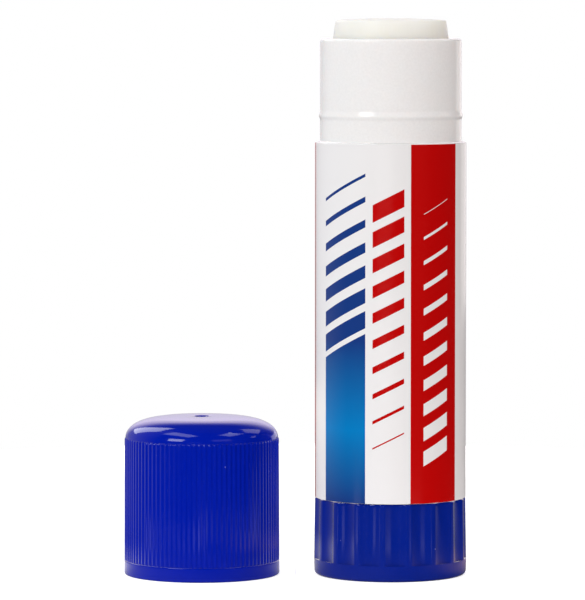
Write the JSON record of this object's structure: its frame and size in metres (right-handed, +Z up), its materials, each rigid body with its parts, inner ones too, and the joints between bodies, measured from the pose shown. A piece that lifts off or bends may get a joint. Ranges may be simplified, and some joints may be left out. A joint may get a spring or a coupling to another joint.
{
  "type": "glue stick",
  "caption": "Twist-up glue stick standing on its fluted turning base, with a ribbed snap cap taken off and standing beside it.",
  "frame": {"origin": "on the table, in the middle of the box round the stick and its cap", "axes": "+Z up along the stick, +X from the cap towards the stick, -Y towards the viewer"},
  "size_m": [0.0544, 0.0248, 0.0883],
  "materials": {
    "blue_plastic": "glossy moulded polypropylene, dyed deep blue",
    "white_plastic": "satin moulded polypropylene, white",
    "natural_plastic": "undyed moulded polypropylene, milky",
    "printed_film": "printed self-adhesive film, glossy",
    "glue": "cast solid adhesive, waxy and slightly translucent"
  },
  "bodies": {
    "barrel": {"barrel": "white_plastic", "label": "printed_film"},
    "knob": {"knob": "blue_plastic", "spindle": "natural_plastic"},
    "carrier": {"carrier": "natural_plastic", "glue": "glue"},
    "cap": {"cap": "blue_plastic"}
  },
  "joints": [
    {"name": "knob_turn", "type": "hinge", "parent": "barrel", "child": "knob", "pos_m": [0.01511, 0, 0], "axis": [0, 0, 1], "range_deg": [-323.9, 3787]},
    {"name": "carrier_lift", "type": "slide", "parent": "barrel", "child": "carrier", "axis": [0, 0, 1], "range_m": [-0.0045, 0.0526]},
    {"name": "cap_lift", "type": "slide", "parent": "barrel", "child": "cap", "axis": [0, 0, 1], "range_m": [0, 0.1]}
  ],
  "couplings": [
    {"joint": "carrier_lift", "follows": "knob_turn", "m_per_rad": 0.00079577}
  ]
}
